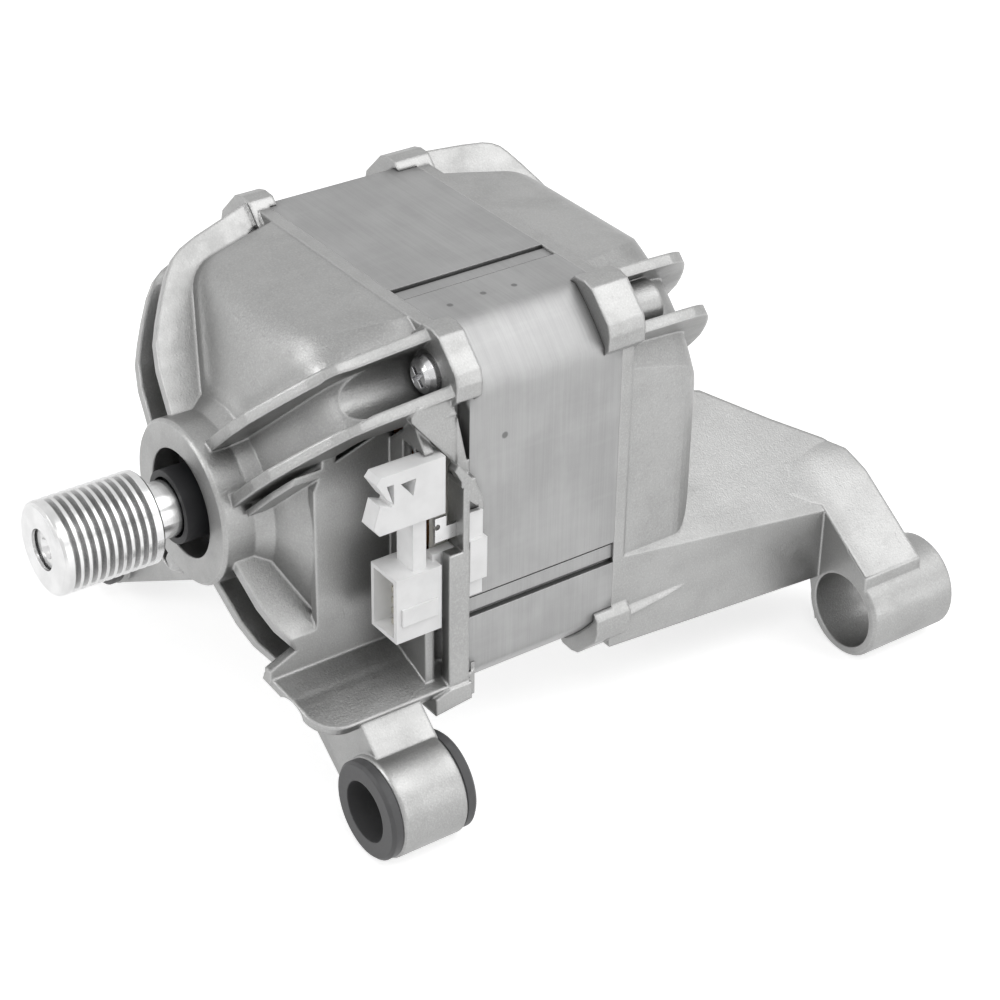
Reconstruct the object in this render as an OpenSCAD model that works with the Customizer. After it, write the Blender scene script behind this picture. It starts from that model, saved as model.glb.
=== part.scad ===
// Washing machine motor: a closed three-phase motor with two cast end shields,
// a bare laminated stator between them and a ribbed belt pulley on the shaft.
// The shaft lies along Y, with the pulley at the low end, and Z points up.
// The origin is on the shaft axis, in the plane of the front hub's end face.

/* [Stator core] */
// Width of the core across its flat sides
core_flats = 107; // [104:0.5:110]
// Radius of the rounded core corners about the shaft axis
core_corner_r = 67.5; // [66:0.25:69]
// Distance from the front hub's face to the core
core_front_y = 51.5; // [50:0.5:54]
// Length of the lamination stack
core_len = 46.5; // [42:0.5:56]
// Radius of the stator bore
bore_r = 31.5; // [31:0.25:33]
// Thickness of the yoke between a slot and the middle of a flat side
yoke_t = 7.3; // [6.5:0.1:8]
// Number of wound teeth
teeth = 12; // [9:3:12]
// Width of one tooth
tooth_w = 8; // [6:0.5:9]
// Thickness of the tooth shoes
shoe_t = 2.5; // [2:0.25:3]
// Width of a slot's mouth
slot_mouth = 3; // [2:0.5:4]
// Distance of the through screws from the rounded corners
screw_inset = 7; // [6:0.25:7.5]
// Width of the shallow key strip on each flat side
strip_w = 6.3; // [4:0.1:8]
// Distance of the key strip from the middle of its side
strip_at = 18.5; // [14:0.5:24]
// Depth of the key strip
strip_d = 0.7; // [0.4:0.1:0.9]

/* [End shields] */
// Wall thickness of the cast shields
wall = 3.5; // [3:0.25:4]
// Step from the core's corners in to the dome at the flange
dome_step = 4.7; // [3.5:0.1:5.5]
// Thickness of the flange that sits on the core
flange_t = 3.6; // [3:0.2:4.5]
// Slope of the dome's conical face
dome_slope = 0.36; // [0.3:0.01:0.4]
// Distance from the hub's face to the tip of the dome's cone
dome_tip = 3.9; // [3:0.1:5]
// Radius of the bend between the dome's face and its sides
dome_bend = 12; // [9:0.5:14]
// Radius of the front hub
hub_r = 22.2; // [21.8:0.1:23]
// Radius of the opening in the front hub
hub_mouth_r = 14.7; // [14:0.1:15]
// Thickness of one rib
rib_t = 3; // [2.5:0.25:3.5]
// Distance of a rib's middle from its diagonal
rib_off = 7.5; // [7:0.25:8.5]
// Thickness of a corner pad over the core's corner
pad_t = 5; // [3.5:0.25:6.5]
// Length of a front corner pad over the core
front_pad_over = 2.2; // [1.5:0.1:4]
// Length of a rear corner pad over the core
rear_pad_over = 6; // [4:0.5:9]

/* [Mounting lugs] */
// Radius of a lug
lug_r = 13.8; // [13.2:0.1:15]
// Radius of a lug's bore
lug_bore_r = 11.1; // [10.5:0.1:11.5]
// Sideways place of the near lugs' axis
near_lug_x = 64.2; // [62:0.2:67]
// Height of the near lugs' axis
near_lug_z = -62.7; // [-65:0.1:-61]
// Sideways place of the far lugs' axis
far_lug_x = -80; // [-84:0.5:-78]
// Height of the far lugs' axis
far_lug_z = -59; // [-61:0.5:-57]
// Distance from the front hub's face to a front lug
front_lug_y = 16; // [14:0.5:18]
// Length of a front lug
front_lug_len = 19.5; // [18:0.5:22]
// Distance from the front hub's face to a rear lug
rear_lug_y = 173; // [170:0.5:178]
// Length of a rear lug
rear_lug_len = 30; // [26:0.5:34]
// Width of the rear arms where they carry the lugs
rear_leg_w = 20.5; // [18:0.5:24]
// Wall thickness of the arms
arm_wall = 4; // [3.5:0.25:5]
// Radius of a rubber bush's bore
bush_bore_r = 8.3; // [7.5:0.1:9]
// Radius of a rubber bush's collars
bush_collar_r = 13.3; // [12.5:0.1:14]
// Thickness of a rubber bush's collars
bush_collar_t = 3; // [2:0.25:4]

/* [Connector bay] */
// Sideways place of the bay's upright wall
bay_x = 37; // [36.5:0.25:38]
// Distance from the hub's face to the upright wall's front edge
bay_front_y = 17; // [15:0.5:19]
// Distance from the hub's face to the bay's back wall
bay_back_y = 39; // [38:0.25:39.5]
// Thickness of the bay's walls and floor
bay_t = 2.6; // [2.2:0.1:3]
// Height of the bay's floor beside the upright wall
bay_floor_z = -34; // [-35:0.25:-33]
// Fall of the floor from the upright wall to its outer edge
bay_floor_fall = 7.5; // [6.5:0.25:8]
// Sideways place of the bay's outer edge and post
bay_edge_x = 56.3; // [55.8:0.1:57]
// Width of the post beside the connector
post_w = 6; // [5:0.25:6.5]
// Thickness of the post
post_t = 3.3; // [2.8:0.1:3.6]

/* [Connector] */
// Width of the connector's shroud
shroud_w = 11.3; // [10.5:0.1:11.6]
// Height of the connector's shroud
shroud_h = 18.8; // [17:0.1:19.5]
// Height of the middle of the shroud
shroud_z = -14; // [-15:0.25:-13]
// Distance from the hub's face to the shroud's mouth
shroud_y = 29; // [27:0.25:30]
// Thickness of the shroud's walls
shroud_t = 1.2; // [1:0.1:1.5]
// Depth of the shroud's socket
socket_depth = 9; // [7:0.25:10]
// Sideways place of the shroud's outer side
shroud_x = 54.8; // [54.4:0.1:55]
// Number of terminal pins
pins = 5; // [3:1:6]
// Width of the cable clip
clip_w = 5.3; // [4.5:0.1:6]
// Distance between the clip's jaws
clip_gap = 3.4; // [3:0.1:4]

/* [Bearings and shaft] */
// Radius of the shaft in the front bearing
shaft_r = 7.5; // [7.3:0.1:7.6]
// Radius of the shaft inside the rotor
rotor_shaft_r = 9; // [8.5:0.25:9.5]
// Radius of the shaft in the rear bearing
tail_r = 6; // [5.75:0.25:6.5]
// Outer radius of the front bearing
front_bearing_r = 17.5; // [17.3:0.1:17.7]
// Width of the front bearing
front_bearing_w = 11; // [10.5:0.25:11.5]
// Distance from the hub's face to the front bearing
front_bearing_y = 9; // [8.5:0.25:9.5]
// Outer radius of the rear bearing
rear_bearing_r = 16; // [15.5:0.25:16.5]
// Width of the rear bearing
rear_bearing_w = 10; // [9.5:0.25:10.5]
// Number of balls in the front bearing
front_balls = 8; // [7:1:8]
// Number of balls in the rear bearing
rear_balls = 7; // [6:1:7]

/* [Rotor] */
// Air gap between rotor and stator
air_gap = 0.5; // [0.4:0.05:0.8]
// Thickness of a magnet
magnet_t = 3; // [2.5:0.25:4]
// Number of magnets
magnets = 8; // [6:2:10]

/* [Pulley] */
// Radius of the pulley over its ridges
pulley_r = 12.4; // [12:0.1:13]
// Distance from one belt groove to the next
groove_pitch = 2.34; // [2.2:0.01:2.4]
// Number of belt grooves
grooves = 10; // [8:1:10]
// Depth of a belt groove
groove_depth = 1.9; // [1.5:0.1:2.1]
// Length of the plain collar at the pulley's outer end
pulley_nose = 2.4; // [2:0.1:4]
// Length of the plain collar at the pulley's inner end
pulley_tail = 2; // [1.5:0.1:3]
// Distance from the hub's face to the pulley's inner end
pulley_gap = 11; // [9:0.5:13]

/* [Hidden] */
$fn = 96;

half_flats = core_flats / 2;
slot_r = half_flats - yoke_t;
screw_pcr = core_corner_r - screw_inset;
dome_r = core_corner_r - dome_step;
pad_d = core_corner_r + pad_t;
core_rear_y = core_front_y + core_len;
core_mid_y = core_front_y + core_len / 2;
wall_fit = 0.15;
far = 200;
edge_bevel = 0.8;

// Dome outlines: the corners follow the cone, the flat sides a steeper outline.
corner_draft = 0.231;
flat_draft = 0.1;
bend_steps = 6;
flat_bend = dome_bend + 1;
flat_slope = dome_slope + 0.06;
flat_tip = dome_tip - 2.7;
inner_shift = wall * sqrt(1 + dome_slope * dome_slope);

// Ribs: distance from the shaft axis and distance from the core's face.
rib_inner = hub_r - 2.2;
rib_outer = core_corner_r + 2;
front_crest = [
    [rib_inner, 48.2], [rib_outer - 32.4, 45.9], [rib_outer - 22.1, 40.2], [rib_outer - 10.7, 32.2],
    [rib_outer - 7.1, 26.6], [rib_outer - 2.9, 12.1], [rib_outer, 2]
];
rear_crest = [
    [rib_inner, 45], [rib_outer - 32.5, 42.5], [rib_outer - 19.5, 37], [rib_outer - 7.5, 30.5],
    [rib_outer - 3.5, 27.5], [rib_outer - 1.7, 22], [rib_outer, 2]
];
rib_root = [
    [rib_outer - 5.5, 2], [rib_outer - 11.5, 12], [rib_outer - 15.5, 24],
    [rib_outer - 23.5, 29], [rib_inner, 39]
];
slim_rib_crest = [
    [rib_inner, 45], [rib_outer - 32.4, 42.4], [rib_outer - 22.1, 36.6], [rib_outer - 10.7, 29],
    [rib_outer - 8.5, 23], [rib_outer - 7.5, 12]
];
slim_rib_t = 1.6;

// Corner pads, seen along the shaft in a diagonal's own frame.
pad_root_d = core_corner_r - 7.5;
pad_half = 10.5;
pad_face_half = 6.5;
pad_shoulder_d = core_corner_r + 0.5;
pad_front = 5.2;

// Through screws.
screw_r = 2.5;
screw_head_r = 5.2;
screw_head_t = 3.5;
screw_seat = flange_t + 0.9;
screw_well_r = 6.4;
screw_tip_y = core_rear_y + 13;
screw_fit = 0.03;
screw_boss_r = 6.5;
drive_w = 1.3;
drive_len = 5.6;
drive_depth = 1.8;

// Front hub.
hub_boss_r = front_bearing_r + 4;
hub_boss_y = front_bearing_y + front_bearing_w + 3.6;
hub_root_y = dome_tip + dome_slope * hub_r;
clip_t = 1.2;
seat_fit = 0.02;

// Rear hub.
rear_bearing_y = 2 * core_mid_y - 18.5;
rear_hub_r = rear_bearing_r + 4.5;
rear_hub_y = rear_bearing_y + rear_bearing_w + 7;
rear_boss_y = rear_bearing_y - 0.5;
washer_t = 1.4;

// Lugs and arms.
front_lug_end = front_lug_y + front_lug_len;
rear_lug_end = rear_lug_y + rear_lug_len;
arm_front_y = front_lug_y + 1.5;
rear_leg_y = rear_lug_y;
arm_slope = 0.675;
arm_fall = 0.15;
arm_edge_z = -35;
arm_bottom_z = -57;
arm_root_z = -52;
bush_fit = 0.05;

// Connector bay.
bay_slope = bay_floor_fall / (bay_edge_x - bay_x + 1);
bay_tilt = atan(bay_slope);
bay_tip_y = 2.8;
rib_side = rib_off + rib_t / 2 + 3.9;
bay_limit = rib_side / sqrt(2) * 2 - 5.6;
bar_low = [51.5, 17.3];
bar_high = [33, 40];
post_back_y = core_front_y - 1.5;
post_front_y = post_back_y - post_w;
post_neck_z = -2.5;
bay_corner_r = 9;
bay_window_fit = 0.35;
skirt_t = 3;

// Rings round the coils, in front of the yoke.
insul_ring_in = slot_r + 0.2;
insul_ring_out = slot_r + 2.4;

// Connector.
tab_t = 0.8;
block_x = shroud_x - shroud_w;
block_back_y = core_front_y - 0.2;
block_root_x = insul_ring_out + 0.3;
block_root_w = bay_edge_x - post_t - tab_t - 0.3 - block_root_x;
block_top = 26.5;
jaw_z = 10.2;
pin_t = 0.8;

// Rotor.
rotor_r = bore_r - air_gap;
rotor_core_r = rotor_r - magnet_t;
pulley_len = pulley_nose + grooves * groove_pitch + pulley_tail;
pulley_y = -pulley_gap - pulley_len;
pulley_bore_r = tail_r + 0.02;
shaft_end_y = rear_bearing_y + rear_bearing_w + 1;
shaft_step_y = hub_boss_y + 1;
tail_step_y = rear_bearing_y;

// Cap in the front hub's mouth.
cap_t = 2.3;
cap_fit = 0.6;
cap_collar_t = 1.7;
cap_collar_y = -3.5;
cap_wing_half = 7;

// Bearings: the races, balls and cages share these values.
front_ball_r = 3;
rear_ball_r = 2.9;
race_t = 2.6;
ball_fit = 0.05;
cage_rim = 0.8;

// Coils and insulators.
end_cover_t = 1.5;
coil_t = 4;
coil_in_r = bore_r + shoe_t + 0.6;
coil_out_r = slot_r - 1;
coil_half = tooth_w / 2 + 0.6;
coil_y = core_front_y - end_cover_t - 0.1;
insul_len = 7;

// Turns an outline of (radius, y) about the shaft axis.
module turned() {
    rotate([-90, 0, 0]) rotate_extrude() children();
}

// Gives an outline of (y, z) a thickness from x0 to x1.
module across_x(x0, x1) {
    translate([x0, 0, 0]) rotate([90, 0, 90]) linear_extrude(x1 - x0) children();
}

// Gives an outline of (x, z) a length from y0 to y1.
module along_y(y0, y1) {
    translate([0, y1, 0]) rotate([90, 0, 0]) linear_extrude(y1 - y0) children();
}

// Gives an outline of (x, y) a height from z0 to z1.
module along_z(z0, z1) {
    translate([0, 0, z0]) linear_extrude(z1 - z0) children();
}

// A round bar along the shaft's direction.
module rod(r, y0, y1, x = 0, z = 0) {
    translate([x, y0, z]) rotate([-90, 0, 0]) cylinder(r = r, h = y1 - y0);
}

// A box between two opposite corners.
module block(a, b) {
    translate(a) cube(b - a);
}

// Repeats a shape, drawn along +X, on the four diagonals.
module on_diagonals() {
    for (k = [0:3]) {
        rotate([0, -45 - 90 * k, 0]) children();
    }
}

// Carries a front shape over to the rear end of the core.
module to_rear() {
    translate([0, 2 * core_mid_y, 0]) rotate([0, 0, 180]) children();
}

// Rib outline points given as (distance from axis, distance ahead of the core).
function ahead(points) = [for (q = points) [q[0], core_front_y - q[1]]];

// Outline with each inner corner taken off by a chord.
function eased(points) = concat(
    [points[0]],
    [
        for (k = [1:len(points) - 2])
            for (side = [-1, 1])
                points[k] + corner_share * (points[k + side] - points[k])
    ],
    [points[len(points) - 1]]
);
corner_share = 0.25;

// Half section of a dome: a cone, a bend and a drafted side.
module dome_half(edge, draft, slope, tip, bend) {
    cone_len = sqrt(1 + slope * slope);
    side_len = sqrt(1 + draft * draft);
    y_edge = core_front_y;
    bend_r = (edge - draft * y_edge + draft * (tip + bend * cone_len) - bend * side_len)
        / (1 - draft * slope);
    bend_y = tip + slope * bend_r + bend * cone_len;
    first = atan(slope) - 90;
    last = -atan(draft);
    arc = [
        for (k = [0:bend_steps])
            let(a = first + (last - first) * k / bend_steps)
                [bend_r + bend * cos(a), bend_y + bend * sin(a)]
    ];
    polygon(concat([[0, tip]], arc, [[edge, y_edge], [0, y_edge]]));
}

// Half section through the middle of a flat side.
module flat_half(inset, shift) {
    dome_half(half_flats - inset, flat_draft, flat_slope, flat_tip + shift, flat_bend - inset);
}

// The dome's solid, shrunk by an inset for its hollow.
module dome(inset, shift) {
    intersection() {
        rotate([0, 22.5, 0]) turned()
            dome_half(dome_r - inset, corner_draft, dome_slope, dome_tip + shift, dome_bend - inset);
        along_z(-far, far) {
            flat_half(inset, shift);
            mirror([1, 0]) flat_half(inset, shift);
        }
        across_x(-far, far) {
            mirror([1, -1]) flat_half(inset, shift);
            mirror([0, 1]) mirror([1, -1]) flat_half(inset, shift);
        }
    }
}

// Outline of the laminations and of the flanges on them.
module core_outline(grow = 0) {
    intersection() {
        square([core_flats + 2 * grow, core_flats + 2 * grow], center = true);
        circle(core_corner_r + grow);
    }
}

// One rib on the first diagonal, at its own offset.
module rib(crest, offset_z, thickness) {
    translate([0, 0, offset_z - thickness / 2])
        linear_extrude(thickness) polygon(concat(ahead(eased(crest)), ahead(rib_root)));
}

module rib_pairs(crest) {
    on_diagonals() {
        rib(crest, rib_off, rib_t);
        rib(crest, -rib_off, rib_t);
    }
}

// Corner pads that reach over the core's corners.
module pads(over) {
    on_diagonals() {
        along_y(core_front_y - pad_front, core_front_y + over) polygon([
            [pad_root_d, -pad_half],
            [pad_shoulder_d, -pad_half],
            [pad_d - 1.6, -pad_face_half - 1.4],
            [pad_d, -pad_face_half + 1.4],
            [pad_d, pad_face_half - 1.4],
            [pad_d - 1.6, pad_face_half + 1.4],
            [pad_shoulder_d, pad_half],
            [pad_root_d, pad_half]
        ]);
    }
}

// The cast body that both shields share, before its bores are cut.
module shield_body(crest, over) {
    dome(0, 0);
    rib_pairs(crest);
    pads(over);
    along_y(core_front_y - flange_t, core_front_y) core_outline();
}

// The hollow that both shields share, around their hub bosses.
module shield_hollow(boss_r, boss_y) {
    reach = screw_pcr - screw_boss_r - 2;
    difference() {
        intersection() {
            dome(wall, inner_shift);
            rotate([0, 45, 0]) block([-reach, -1, -reach], [reach, core_front_y + 1, reach]);
        }
        rod(boss_r, -1, boss_y);
    }
}

// Space that the core takes between the shields.
module core_space() {
    along_y(core_front_y, core_rear_y) core_outline(wall_fit);
}

// Wells in which the screw heads sit, open to the front.
module screw_wells() {
    on_diagonals() {
        rod(screw_well_r, 0, core_front_y - screw_seat, screw_pcr, 0);
        rod(screw_r + 0.3, 0, core_front_y + 1, screw_pcr, 0);
    }
}

// A lug's round body, with bevelled ends.
module lug(x, z, y0, y1) {
    translate([x, 0, z]) turned() polygon([
        [0, y0],
        [lug_r - edge_bevel, y0],
        [lug_r, y0 + edge_bevel],
        [lug_r, y1 - edge_bevel],
        [lug_r - edge_bevel, y1],
        [0, y1]
    ]);
}

module lug_bores(y0, y1) {
    rod(lug_bore_r, y0 - 1, y1 + 1, near_lug_x, near_lug_z);
    rod(lug_bore_r, y0 - 1, y1 + 1, far_lug_x, far_lug_z);
}

// Arms that carry the two front lugs, as outlines of (x, z).
module front_arms() {
    along_y(arm_front_y, front_lug_end) polygon([
        [near_lug_x - 44.2, near_lug_z + 16],
        [near_lug_x - 8.2, near_lug_z - 11.1],
        [near_lug_x, near_lug_z],
        [near_lug_x + 2.2, near_lug_z + 11],
        [near_lug_x - 18.2, near_lug_z + 28.3],
        [near_lug_x - 34.2, near_lug_z + 32.7]
    ]);
    along_y(arm_front_y, front_lug_end) polygon([
        [far_lug_x + 62, far_lug_z + 19.5],
        [far_lug_x + 6.4, far_lug_z - 12.2],
        [far_lug_x, far_lug_z],
        [far_lug_x - 3, far_lug_z + 12],
        [far_lug_x + 30, far_lug_z + 29],
        [far_lug_x + 50, far_lug_z + 37]
    ]);
    lug(near_lug_x, near_lug_z, front_lug_y, front_lug_end);
    lug(far_lug_x, far_lug_z, front_lug_y, front_lug_end);
}

// Height of the bay's floor at a sideways place.
function bay_floor(x) = bay_floor_z - bay_slope * (x - bay_x + 1);

// The air of the connector bay, in front of its back wall.
module bay_front_space() {
    intersection() {
        along_y(-5, bay_back_y) polygon([
            [bay_x, bay_floor(bay_x) - bay_t / 2],
            [far, bay_floor(far) - bay_t / 2],
            [far, far - bay_limit],
            [bay_x, bay_x - bay_limit]
        ]);
        across_x(0, far) polygon([
            [-10, -far],
            [bay_back_y, -far],
            [bay_back_y, bar_low[1] + (bar_low[0] - bay_back_y) * bar_rise],
            bar_high,
            [bar_high[0] - 17, bar_high[1] + 20],
            [-10, bar_high[1] + 20]
        ]);
    }
}
bar_rise = (bar_high[1] - bar_low[1]) / (bar_low[0] - bar_high[0]);

// The air beside the post, where the shield's side is open.
module bay_side_space() {
    side_x = half_flats - wall - 1.4;
    intersection() {
        along_y(bay_back_y - 1, core_front_y + 1) polygon([
            [side_x, bay_floor(side_x) - bay_t / 2],
            [far, bay_floor(far) - bay_t / 2],
            [far, far - bay_limit],
            [side_x, side_x - bay_limit]
        ]);
        across_x(0, far) polygon([
            [bay_back_y - 1, -far],
            [core_front_y + 1, -far],
            [core_front_y + 1, bar_low[1] - bar_rise],
            [bay_back_y - 1, bar_low[1] + (bar_low[0] - bay_back_y + 1) * bar_rise]
        ]);
    }
}

// Skirt from the lower near rib down to the bay's slanting edge.
module bay_skirt() {
    rise = 1.6;
    across_x(half_flats - skirt_t - 0.5, half_flats - 0.5) polygon([
        [bar_high[0] + 2.2, bar_high[1] - 2.7 + rise],
        [bar_high[0] + 2.2, bar_high[1] - 2.7],
        [core_front_y - 0.8, bar_low[1] + 0.8 * bar_rise],
        [core_front_y - 0.8, bar_low[1] + 5],
        [core_front_y - 4.4, pad_low_z - 1],
        [core_front_y - 4.4, pad_low_z + 1.2],
        [bar_high[0] + 4, pad_low_z + 1.2]
    ]);
}

// Slit between the side wall and the core, under the near pad.
module side_slit() {
    across_x(half_flats - wall - 1, far) polygon([
        [core_front_y + 1, bar_low[1] + 5],
        [core_front_y - 0.8, bar_low[1] + 5],
        [core_front_y - 4.4, pad_low_z - 1],
        [core_front_y - 3.2, pad_low_z + 0.4],
        [core_front_y + 1, pad_low_z + 0.4]
    ]);
}
pad_low_z = (pad_shoulder_d - pad_half) / sqrt(2) - 1;

// Window in the bay's back wall, round the terminal block.
module bay_window() {
    block(
        [block_x - bay_window_fit, bay_back_y - 1, shroud_z - shroud_h / 2 - bay_window_fit],
        [far, bay_back_y + bay_t + 4, block_top + bay_window_fit]
    );
}

// Upright wall of the bay, with its low web towards the floor's tip.
module bay_wall() {
    top_z = bay_x - bay_limit + 4;
    across_x(bay_x - bay_t, bay_x) polygon([
        [bay_tip_y + 0.1, bay_floor(bay_x) - bay_t / 2],
        [bay_tip_y + 0.1, bay_floor(bay_x) + 2.6],
        [bay_front_y - 0.6, bay_floor(bay_x) + 8.6],
        [bay_front_y, bay_floor(bay_x) + 12],
        [bay_front_y, 16],
        [bay_front_y + 2, 20.3],
        [bay_front_y + 6, 22.5],
        [bay_back_y + bay_t / 2, top_z],
        [bay_back_y + bay_t / 2, bay_floor(bay_x) - bay_t / 2]
    ]);
}

// Back wall of the bay, closed towards the winding.
module bay_back() {
    along_y(bay_back_y, bay_back_y + bay_t) polygon([
        [bay_x - bay_t / 2, bay_floor(bay_x) - bay_t / 2],
        [half_flats - 0.5, bay_floor(half_flats) - bay_t / 2],
        [half_flats - 0.9, bar_low[1] + 10],
        [half_flats - 6, half_flats - bay_limit - 6.8],
        [bay_x - bay_t / 2, bay_x - bay_t / 2 - bay_limit + 0.2]
    ]);
}

// Sloping floor of the bay, with a round outer corner.
module bay_floor_plate() {
    run = (bay_edge_x - bay_x) / cos(bay_tilt);
    translate([bay_x, 0, bay_floor(bay_x)]) rotate([0, bay_tilt, 0])
        translate([0, 0, -bay_t]) linear_extrude(bay_t) {
            polygon([
                [-3, bay_tip_y],
                [run - bay_corner_r, bay_tip_y + 2.6],
                [run - bay_corner_r, core_front_y - flange_t],
                [-3, core_front_y - flange_t]
            ]);
            translate([run - bay_corner_r, bay_tip_y + 2.6 + bay_corner_r]) circle(bay_corner_r);
            translate([run - 2 * bay_corner_r, bay_tip_y + 2.6 + bay_corner_r])
                square([2 * bay_corner_r, core_front_y - bay_tip_y - 2.6 - bay_corner_r]);
        }
}

// Post at the bay's outer edge, with its foot and its flared top.
module bay_post() {
    block([bay_edge_x - post_t, post_front_y, bay_floor(bay_edge_x) - bay_t], [bay_edge_x, post_back_y, post_neck_z + 0.5]);
    across_x(block_root_x + 0.3, bay_edge_x) polygon([
        [post_back_y - 1.8, post_neck_z],
        [post_back_y - 0.2, post_neck_z],
        [post_back_y - 0.2, bar_low[1] - 0.4],
        [core_front_y - 2.4, bar_low[1] + 1.7 * bar_rise],
        [post_back_y - 1.8, bar_low[1] + 1.7 * bar_rise]
    ]);
    across_x(bay_edge_x - post_t, bay_edge_x) polygon([
        [post_back_y - 1.9, post_neck_z - 1],
        [post_back_y - 0.2, post_neck_z - 1],
        [post_back_y - 0.2, bar_low[1]],
        [core_front_y, bar_low[1]],
        [core_front_y - 5, bar_low[1] + 5 * bar_rise],
        [core_front_y - 6, bar_low[1] + 3.8 * bar_rise],
        [post_back_y - 1.9, bar_low[1]]
    ]);
    block([half_flats - wall, core_front_y - 4, bar_low[1] - 0.6], [bay_edge_x, core_front_y, bar_low[1] + 1.2]);
    across_x(half_flats + 0.4, bay_edge_x) polygon([
        [core_front_y - 2.2, bar_low[1]],
        [core_front_y, bar_low[1]],
        [core_front_y + 2.6, bar_low[1] - 6],
        [core_front_y + 2.6, bar_low[1] - 9],
        [core_front_y - 2.2, bar_low[1] - 4.5]
    ]);
    across_x(half_flats - 6, bay_edge_x + 0.7) polygon([
        [core_front_y - 12, bay_floor(bay_edge_x) - bay_t + 0.5],
        [core_front_y - 12, bay_floor(bay_edge_x) - 7],
        [core_front_y, bay_floor(bay_edge_x) - 5.5],
        [core_front_y, bay_floor(bay_edge_x) - 0.5],
        [post_front_y, bay_floor(bay_edge_x) - 0.5]
    ]);
}

module front_shield() {
    color([0.74, 0.75, 0.76])
    difference() {
        union() {
            difference() {
                union() {
                    shield_body(front_crest, front_pad_over);
                    rotate([0, -45, 0]) rib(slim_rib_crest, -rib_off - rib_t / 2 - 2.4, slim_rib_t);
                    front_arms();
                    turned() polygon([
                        [0, 0],
                        [hub_r - edge_bevel, 0],
                        [hub_r, edge_bevel],
                        [hub_r, hub_root_y - 3],
                        [hub_r + 3, hub_root_y + 1.5],
                        [hub_r, hub_boss_y - 2],
                        [0, hub_boss_y - 2]
                    ]);
                }
                shield_hollow(hub_boss_r, hub_boss_y);
                screw_wells();
                bay_front_space();
                bay_side_space();
                side_slit();
            }
            bay_skirt();
            difference() {
                union() {
                    bay_wall();
                    bay_back();
                }
                rod(hub_boss_r - 0.5, -1, hub_boss_y);
                bay_window();
            }
            bay_floor_plate();
            bay_post();
        }
        rod(hub_mouth_r, -1, front_bearing_y + 1);
        rod(front_bearing_r + seat_fit, front_bearing_y, hub_boss_y + 1);
        rod(front_bearing_r + 0.9, front_bearing_y + front_bearing_w, front_bearing_y + front_bearing_w + clip_t + 0.1);
        lug_bores(front_lug_y, front_lug_end);
        core_space();
        on_diagonals() {
            rod(screw_head_r + 0.3, 0, core_front_y - screw_seat, screw_pcr, 0);
            rod(screw_r + 0.3, 0, core_front_y + 1, screw_pcr, 0);
        }
        block([half_flats - wall, post_back_y, -18], [far, core_front_y + 1, 10.5]);
        block([half_flats + 0.2, core_front_y - 0.9, -far], [far, core_front_y + 9, bay_floor(bay_edge_x) + 5]);
    }
}

// Half space below the sloping top of a rear arm, lowered by a drop.
module below_arm_top(drop) {
    translate([half_flats, rear_leg_y, arm_edge_z - drop])
        rotate([0, atan(arm_slope), 0]) rotate([-atan(arm_fall * cos(atan(arm_slope))), 0, 0])
            translate([-far, -far, -far]) cube([2 * far, 2 * far, far]);
}

// Outline of a rear arm seen from above, for a lug at reach from the side.
module arm_plan(reach, inset) {
    leg_end = rear_leg_y + rear_leg_w - inset;
    polygon([
        [half_flats - inset, core_rear_y],
        [half_flats - inset, rear_leg_y + inset],
        [reach, rear_leg_y + inset],
        [reach, leg_end],
        [half_flats - 5.7 + inset / 3, leg_end],
        [half_flats - 13.2 + inset / 2, leg_end - 1.4],
        [half_flats - 18 + inset, leg_end - 6.2],
        [half_flats - 25.7 + inset, rear_leg_y - inset / 2],
        [half_flats - 36.2 + inset, rear_leg_y - 17.5],
        [half_flats - 41.5 + inset, core_rear_y + 20],
        [half_flats - 41.5 + inset, core_rear_y]
    ]);
}

// One rear arm: an open trough with a cross rib, cast onto the shield.
module rear_arm(reach) {
    difference() {
        intersection() {
            along_z(-far, far) arm_plan(reach, 0);
            below_arm_top(0);
            across_x(-far, far) polygon([
                [core_rear_y, arm_root_z],
                [rear_leg_y, arm_bottom_z],
                [rear_leg_y + rear_leg_w, arm_bottom_z - 1],
                [rear_leg_y + rear_leg_w, far],
                [core_rear_y, far]
            ]);
        }
        difference() {
            intersection() {
                along_z(-far, far) arm_plan(reach, arm_wall);
                below_arm_top(arm_wall + 1);
            }
            for (y = [core_rear_y + 30, rear_leg_y - 12]) {
                block([0, y, -far], [far, y + arm_wall, far]);
            }
            block([half_flats - 14, rear_leg_y - 30, -far], [half_flats - 14 + arm_wall, far, far]);
            block([-far, core_rear_y, -far], [far, core_rear_y + 27, far]);
        }
    }
}

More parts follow.
